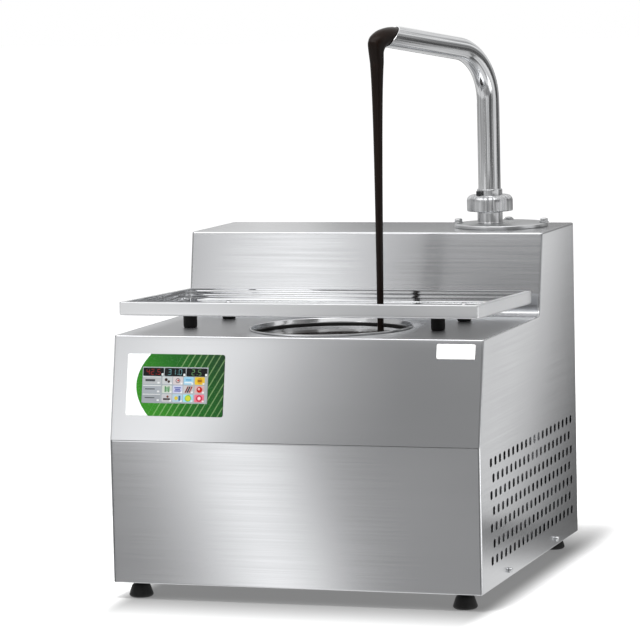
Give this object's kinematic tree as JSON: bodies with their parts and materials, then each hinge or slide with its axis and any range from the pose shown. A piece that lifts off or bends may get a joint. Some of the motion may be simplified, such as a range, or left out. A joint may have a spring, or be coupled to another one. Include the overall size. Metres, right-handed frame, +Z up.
{
  "type": "chocolate tempering machine",
  "caption": "Table-top steel tempering machine with a round tank under a lift-off tray and a swan-neck spout pouring chocolate into it.",
  "frame": {"origin": "centre of the footprint on the table top", "axes": "+Z up, -Y towards the user (control side), +X to the user's right"},
  "size_m": [0.5316, 0.52, 0.7632],
  "materials": {
    "satin_steel": "satin stainless sheet",
    "polished_steel": "polished stainless steel",
    "cast_alloy": "cast, plain",
    "copper": "drawn copper tube",
    "motor_black": "black paint",
    "rubber": "moulded black",
    "silicone": "food-grade silicone, dark",
    "black_plastic": "moulded black",
    "green_panel": "printed polyester sheet",
    "display_glass": "glass over a lit display",
    "circuit_board": "lacquered laminate",
    "white_plate": "blank white plate",
    "chocolate": "liquid dark chocolate, shown solid"
  },
  "bodies": {
    "casing": {"top_cover": "satin_steel", "front_panel": "satin_steel", "left_side_panel": "satin_steel", "right_side_panel": "satin_steel", "back_panel": "satin_steel", "base_plate": "satin_steel", "badge_plate": "white_plate", "control_overlay": "green_panel", "touch_display": "display_glass", "control_board": "circuit_board", "power_supply": "black_plastic", "power_inlet": "black_plastic", "panel_screw_left_front": "polished_steel", "panel_screw_left_rear": "polished_steel", "panel_screw_right_front": "polished_steel", "panel_screw_right_rear": "polished_steel", "tank": "satin_steel", "tank_mouth_seal": "silicone", "chocolate_in_tank": "chocolate", "tank_heater_band": "cast_alloy", "cooling_coil": "copper", "temperature_probe": "polished_steel", "agitator_seal": "silicone", "agitator_gearbox": "cast_alloy", "agitator_motor": "motor_black", "transfer_pipe": "polished_steel", "pump_barrel": "polished_steel", "pump_heater": "cast_alloy", "pump_shaft_seal": "silicone", "pump_gearbox": "cast_alloy", "pump_motor": "motor_black", "outlet_flange": "satin_steel", "flange_bolt_1": "polished_steel", "flange_bolt_2": "polished_steel", "flange_bolt_3": "polished_steel", "outlet_neck": "satin_steel", "union_seal": "silicone", "compressor": "motor_black", "condenser": "cast_alloy", "discharge_line": "copper", "fan_shroud": "black_plastic", "fan_motor": "motor_black"},
    "tray": {"tray_pan": "satin_steel", "tray_foot_front_left": "rubber", "tray_foot_front_right": "rubber", "tray_foot_rear_left": "rubber", "tray_foot_rear_right": "rubber"},
    "spout": {"spout_pipe": "polished_steel", "spout_liner": "satin_steel", "chocolate_stream": "chocolate"},
    "nut": {"union_nut": "satin_steel"},
    "pump_screw": {"auger_screw": "polished_steel", "shaft_coupling": "cast_alloy"},
    "stirrer": {"agitator": "polished_steel"},
    "fan": {"fan_rotor": "black_plastic"},
    "rocker": {"rocker_switch": "black_plastic"},
    "front_left_foot": {"foot_front_left": "rubber"},
    "front_right_foot": {"foot_front_right": "rubber"},
    "rear_left_foot": {"foot_rear_left": "rubber"},
    "rear_right_foot": {"foot_rear_right": "rubber"}
  },
  "joints": [
    {"name": "tray_lift", "type": "slide", "parent": "casing", "child": "tray", "axis": [0, 0, 1], "range_m": [0, 0.1]},
    {"name": "spout_swivel", "type": "hinge", "parent": "casing", "child": "spout", "pos_m": [0.1565, 0.185, 0.5], "axis": [0, 0, 1], "range_deg": [-10, 4]},
    {"name": "nut_turn", "type": "hinge", "parent": "casing", "child": "nut", "pos_m": [0.1565, 0.185, 0.505], "axis": [0, 0, 1], "range_deg": [0, 270]},
    {"name": "auger_spin", "type": "hinge", "parent": "casing", "child": "pump_screw", "pos_m": [0.1565, 0.185, 0.25], "axis": [0, 0, 1], "continuous": true},
    {"name": "agitator_spin", "type": "hinge", "parent": "casing", "child": "stirrer", "pos_m": [0.012, -0.114, 0.2], "axis": [0, 0, 1], "continuous": true},
    {"name": "fan_spin", "type": "hinge", "parent": "casing", "child": "fan", "pos_m": [0.191, -0.065, 0.0988], "axis": [1, 0, 0], "continuous": true},
    {"name": "rocker_tip", "type": "hinge", "parent": "casing", "child": "rocker", "pos_m": [-0.19, 0.2556, 0.093], "axis": [1, 0, 0], "range_deg": [-14, 0]},
    {"name": "foot_turn_front_left", "type": "hinge", "parent": "casing", "child": "front_left_foot", "pos_m": [-0.229, -0.236, 0.01], "axis": [0, 0, 1], "range_deg": [-180, 180]},
    {"name": "foot_turn_front_right", "type": "hinge", "parent": "casing", "child": "front_right_foot", "pos_m": [0.229, -0.236, 0.01], "axis": [0, 0, 1], "range_deg": [-180, 180]},
    {"name": "foot_turn_rear_left", "type": "hinge", "parent": "casing", "child": "rear_left_foot", "pos_m": [-0.229, 0.234, 0.01], "axis": [0, 0, 1], "range_deg": [-180, 180]},
    {"name": "foot_turn_rear_right", "type": "hinge", "parent": "casing", "child": "rear_right_foot", "pos_m": [0.229, 0.234, 0.01], "axis": [0, 0, 1], "range_deg": [-180, 180]}
  ]
}
